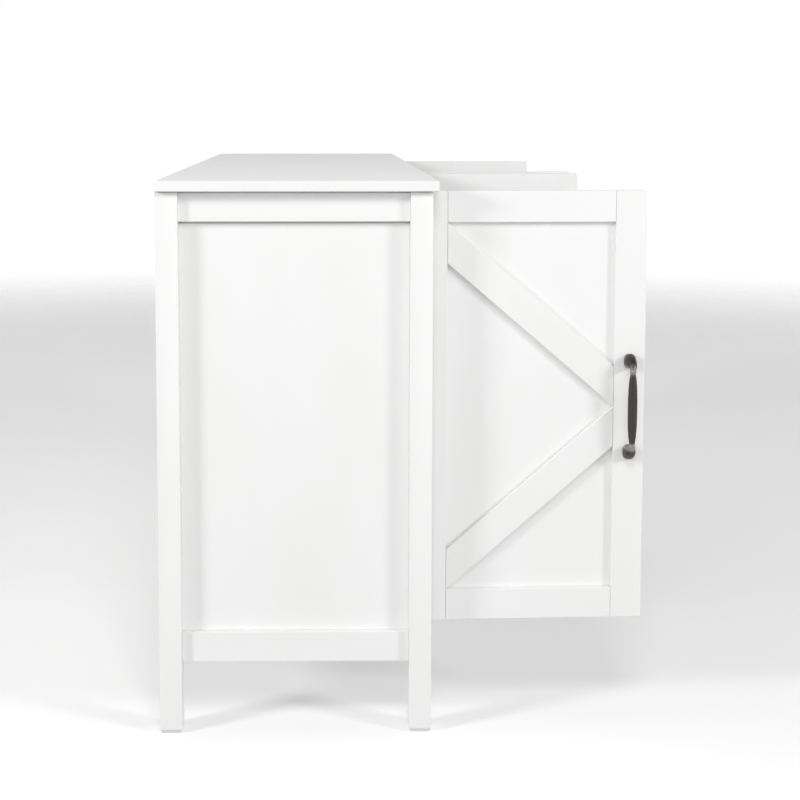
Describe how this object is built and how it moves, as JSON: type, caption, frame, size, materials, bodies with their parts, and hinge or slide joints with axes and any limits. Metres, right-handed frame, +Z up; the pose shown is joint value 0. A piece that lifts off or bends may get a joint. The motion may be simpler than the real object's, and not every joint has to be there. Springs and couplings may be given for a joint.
{
  "type": "sideboard buffet",
  "caption": "Long white sideboard on square legs with inset braced doors on concealed hinges and dark metal pulls, adjustable shelves inside.",
  "frame": {"origin": "on the floor under the middle of the cabinet body, at the middle of the centre foot's bottom face", "axes": "+X along the length, towards the right-hand end as seen from the front; -Y is the side the doors are on, +Y the back; +Z up"},
  "size_m": [1.47, 0.7041, 0.8],
  "materials": {
    "white_painted_board": "satin white paint on fibreboard and solid strips",
    "white_back_board": "matt white lacquered hardboard",
    "dark_metal_pull": "cast zinc with a dark gunmetal finish, rubbed bright on its edges",
    "nickel_plated_steel": "pressed steel, nickel plated",
    "white_plastic": "moulded nylon and polythene, white"
  },
  "bodies": {
    "cabinet": {"tabletop": "white_painted_board", "leg_front_left": "white_painted_board", "leg_front_right": "white_painted_board", "leg_back_left": "white_painted_board", "leg_back_right": "white_painted_board", "end_rail_top_left": "white_painted_board", "end_rail_bottom_left": "white_painted_board", "end_panel_left": "white_painted_board", "shelf_left": "white_painted_board", "end_rail_top_right": "white_painted_board", "end_rail_bottom_right": "white_painted_board", "end_panel_right": "white_painted_board", "shelf_right": "white_painted_board", "front_bottom_rail": "white_painted_board", "bottom_panel": "white_painted_board", "back_panel": "white_back_board", "centre_post": "white_painted_board", "front_top_stretcher": "white_painted_board", "centre_divider": "white_painted_board", "centre_foot": "white_painted_board", "hinge_arm_1_lower": "nickel_plated_steel", "hinge_arm_1_upper": "nickel_plated_steel", "hinge_arm_2_lower": "nickel_plated_steel", "hinge_arm_2_upper": "nickel_plated_steel", "hinge_arm_3_lower": "nickel_plated_steel", "hinge_arm_3_upper": "nickel_plated_steel", "hinge_arm_4_lower": "nickel_plated_steel", "hinge_arm_4_upper": "nickel_plated_steel"},
    "door_1": {"door_1_panel": "white_painted_board", "door_1_hinge_stile": "white_painted_board", "door_1_handle_stile": "white_painted_board", "door_1_top_rail": "white_painted_board", "door_1_bottom_rail": "white_painted_board", "door_1_brace_upper": "white_painted_board", "door_1_brace_lower": "white_painted_board", "door_1_handle": "dark_metal_pull"},
    "door_2": {"door_2_panel": "white_painted_board", "door_2_hinge_stile": "white_painted_board", "door_2_handle_stile": "white_painted_board", "door_2_top_rail": "white_painted_board", "door_2_bottom_rail": "white_painted_board", "door_2_brace_upper": "white_painted_board", "door_2_brace_lower": "white_painted_board", "door_2_handle": "dark_metal_pull"},
    "door_3": {"door_3_panel": "white_painted_board", "door_3_hinge_stile": "white_painted_board", "door_3_handle_stile": "white_painted_board", "door_3_top_rail": "white_painted_board", "door_3_bottom_rail": "white_painted_board", "door_3_brace_upper": "white_painted_board", "door_3_brace_lower": "white_painted_board", "door_3_handle": "dark_metal_pull"},
    "door_4": {"door_4_panel": "white_painted_board", "door_4_hinge_stile": "white_painted_board", "door_4_handle_stile": "white_painted_board", "door_4_top_rail": "white_painted_board", "door_4_bottom_rail": "white_painted_board", "door_4_brace_upper": "white_painted_board", "door_4_brace_lower": "white_painted_board", "door_4_handle": "dark_metal_pull"}
  },
  "joints": [
    {"name": "door_1_hinge", "type": "hinge", "parent": "cabinet", "child": "door_1", "pos_m": [-0.677, -0.1865, 0.469], "axis": [0, 0, -1], "range_deg": [-88, 17]},
    {"name": "door_2_hinge", "type": "hinge", "parent": "cabinet", "child": "door_2", "pos_m": [-0.032, -0.1865, 0.469], "axis": [0, 0, 1], "range_deg": [-88, 0]},
    {"name": "door_3_hinge", "type": "hinge", "parent": "cabinet", "child": "door_3", "pos_m": [0.032, -0.1865, 0.469], "axis": [0, 0, -1], "range_deg": [-88, 0]},
    {"name": "door_4_hinge", "type": "hinge", "parent": "cabinet", "child": "door_4", "pos_m": [0.677, -0.1865, 0.469], "axis": [0, 0, 1], "range_deg": [-88, 17]}
  ]
}
